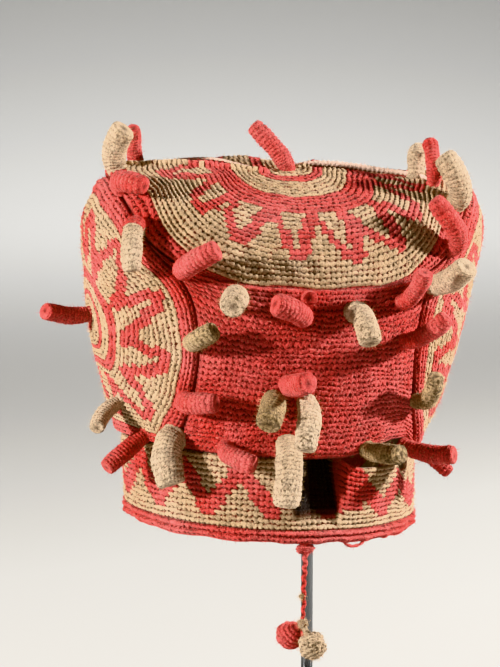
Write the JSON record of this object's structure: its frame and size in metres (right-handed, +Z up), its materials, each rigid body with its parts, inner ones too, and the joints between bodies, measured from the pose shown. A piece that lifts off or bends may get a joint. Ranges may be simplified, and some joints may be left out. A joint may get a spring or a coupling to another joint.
{
  "type": "crocheted headdress on display stand",
  "caption": "Tall crocheted cap with sunburst discs on top and sides, a zigzag head band, stuffed burls and a hanging cord with balls, held on a plain rod stand.",
  "frame": {"origin": "centre of the base plate's underside, on the rod's axis", "axes": "+Z up along the rod, -Y the cap's front, +X the viewer's right"},
  "size_m": [0.2821, 0.2405, 0.38],
  "materials": {
    "red_yarn": "coarse red cotton crochet, matt, slightly fuzzy",
    "natural_yarn": "coarse natural cotton crochet, matt, slightly fuzzy",
    "worn_yarn": "natural cotton crochet, soiled grey-brown",
    "steel": "polished steel",
    "rest_wood": "plain hidden rest"
  },
  "bodies": {
    "root": {"back_panel": "red_yarn", "burl_back_high": "natural_yarn", "burl_back_high_left": "red_yarn", "burl_back_high_right": "red_yarn", "burl_back_mid_left": "natural_yarn", "burl_back_mid_right": "red_yarn", "burl_back_waist_left": "red_yarn", "burl_back_waist_right": "natural_yarn", "burl_corner_left": "natural_yarn", "burl_crown_centre": "red_yarn", "burl_disc_left_bottom": "red_yarn", "burl_disc_left_centre": "red_yarn", "burl_disc_left_low": "natural_yarn", "burl_disc_right_back": "red_yarn", "burl_disc_right_pale": "natural_yarn", "burl_front_centre_high": "red_yarn", "burl_front_centre_long": "natural_yarn", "burl_front_centre_mid": "red_yarn", "burl_front_centre_worn": "worn_yarn", "burl_front_left_high": "red_yarn", "burl_front_left_low": "red_yarn", "burl_front_left_mid": "red_yarn", "burl_front_left_pale": "natural_yarn", "burl_front_left_worn": "worn_yarn", "burl_front_nub": "red_yarn", "burl_front_right_bent": "natural_yarn", "burl_front_right_high": "red_yarn", "burl_front_right_mid": "red_yarn", "burl_front_right_worn": "worn_yarn", "burl_peak_left_back": "red_yarn", "burl_peak_left_front": "red_yarn", "burl_peak_left_pale": "natural_yarn", "burl_peak_right_back": "natural_yarn", "burl_peak_right_front": "red_yarn", "burl_peak_right_pale": "natural_yarn", "burl_peak_right_red": "red_yarn", "burl_waist_centre": "natural_yarn", "burl_waist_left": "natural_yarn", "burl_waist_right_long": "red_yarn", "burl_waist_right_thin": "red_yarn", "burl_waist_right_worn": "worn_yarn", "crown_disc": "natural_yarn", "crown_rest": "rest_wood", "front_panel": "red_yarn", "head_band": "natural_yarn", "pendant_ball_pale": "natural_yarn", "pendant_ball_red": "red_yarn", "pendant_cord": "red_yarn", "pendant_knot": "natural_yarn", "pendant_tie": "red_yarn", "rim_edging": "red_yarn", "side_disc_left": "natural_yarn", "side_disc_right": "natural_yarn", "stand_base": "steel", "stand_rod": "steel"}
  },
  "joints": []
}
